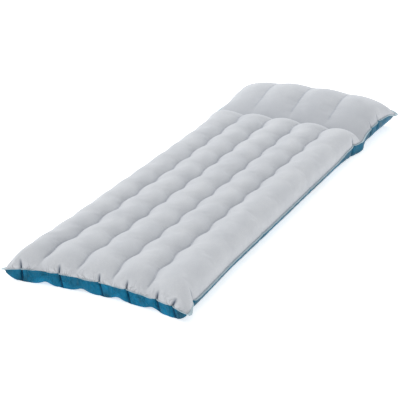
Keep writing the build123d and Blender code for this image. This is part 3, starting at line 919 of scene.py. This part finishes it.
# ---- valve --------------------------------------------------------------------------------------
def cap_strap():
    """Soft band that ties the cap to its ring: a U below the cap, with thicker roots."""
    low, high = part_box("cap_strap")
    ring_low, ring_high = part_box("tether_ring")
    cap_low, cap_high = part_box("valve_cap")
    half, half_width, around = 0.00045, 0.0030, 16
    ring_y, cap_y = low.y + half, high.y - half
    ring_z = VALVE_Z - (ring_high.x - ring_low.x) / 2
    cap_z = VALVE_Z - (cap_high.x - cap_low.x) / 2
    turn = (cap_y - ring_y) / 2
    bend_z = low.z + half + turn
    path = [(ring_y, ring_z + (bend_z - ring_z) * t) for t in np.linspace(0, 1, 7)[:-1]]
    path += [
        (ring_y + turn - turn * math.cos(a), bend_z - turn * math.sin(a))
        for a in np.linspace(0, math.pi, 13)
    ]
    path += [(cap_y, bend_z + (cap_z - bend_z) * t) for t in np.linspace(0, 1, 9)[1:]]
    path = np.array(path)
    direction = np.gradient(path, axis=0)
    direction /= np.linalg.norm(direction, axis=1, keepdims=True)
    points = []
    for k, ((y, z), (dy, dz)) in enumerate(zip(path, direction)):
        end = min(k, len(path) - 1 - k)
        width = half_width * (1 + 0.25 * max(0, 1 - end / 4) ** 2)
        for a in np.linspace(0, 2 * math.pi, around, endpoint=False):
            c, s = math.cos(a), math.sin(a)
            across = width * math.copysign(abs(c) ** 0.35, c)
            through = half * math.copysign(abs(s) ** 0.6, s)
            points.append((VALVE_X + across, y + dz * through, z - dy * through))
    count = len(path)
    faces = []
    for i in range(count - 1):
        near, far = i * around, (i + 1) * around
        for k in range(around):
            on = (k + 1) % around
            faces.append((near + k, near + on, far + on, far + k))
    faces += [tuple(range(around)), tuple(range((count - 1) * around, count * around))]
    ob = mesh_object("strap", points, faces)
    ob.data.materials.append(CAP_PLASTIC)
    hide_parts("cap_strap")
    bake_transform(ob)


cap_strap()
for name, material in (
    ("valve_base", CLEAR_PVC),
    ("valve_gasket", RUBBER),
    ("valve_insert", INSERT_PLASTIC),
    ("valve_flap", RUBBER),
    ("tether_ring", CAP_PLASTIC),
    ("valve_cap", CAP_PLASTIC),
):
    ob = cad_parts[name]
    for slot in ob.material_slots:
        slot.material = material
    if not ob.material_slots:
        ob.data.materials.append(material)


# ---- camera, light, floor -----------------------------------------------------------------------
def aimed(name, data, place, target):
    """A camera or light at a place, turned towards a target."""
    ob = bpy.data.objects.new(name, data)
    ob.location = place
    ob.rotation_mode = "QUATERNION"
    ob.rotation_quaternion = (Vector(target) - Vector(place)).to_track_quat("-Z", "Y")
    bpy.context.scene.collection.objects.link(ob)
    return ob


def make_camera():
    """The camera, with the mattress seen from the foot end and its +X side."""
    azimuth, elevation, distance = math.radians(27.34), math.radians(25.29), 5.312
    target = Vector((0.0044, -0.1866, 0.05))
    level = math.cos(elevation)
    back = Vector((math.sin(azimuth) * level, -math.cos(azimuth) * level, math.sin(elevation)))
    data = bpy.data.cameras.new("camera")
    data.sensor_width = 36
    data.lens = 131.9
    bpy.context.scene.camera = aimed("camera", data, target + back * distance, target)


def make_light(name, place, size, power):
    data = bpy.data.lights.new(name, "AREA")
    data.shape = "DISK"
    data.size = size
    data.energy = power
    aimed(name, data, place, (0, 0, 0))


make_camera()
make_light("key", (-6.4, 3.4, 7.0), 6.6, 470)
world = bpy.data.worlds.new("studio")
world.use_nodes = True
background = world.node_tree.nodes["Background"]
background.inputs["Strength"].default_value = 0.80
background.inputs["Color"].default_value = (0.97, 0.985, 1, 1)
bpy.context.scene.world = world
bpy.context.scene.view_settings.view_transform = "Standard"


def make_floor():
    """Plain pale floor that glows a little, so that it stays nearly white."""
    corners = [(-9, -9, 0), (9, -9, 0), (9, 9, 0), (-9, 9, 0)]
    floor = mesh_object("floor", corners, [(0, 1, 2, 3)], False)
    material, tree, shader = new_material("floor", Roughness=0.8)
    shader.inputs["Base Color"].default_value = (0.86, 0.86, 0.86, 1)
    shader.inputs["Specular IOR Level"].default_value = 0.1
    shader.inputs["Emission Color"].default_value = (1, 1, 1, 1)
    shader.inputs["Emission Strength"].default_value = 0.61
    floor.data.materials.append(material)


make_floor()
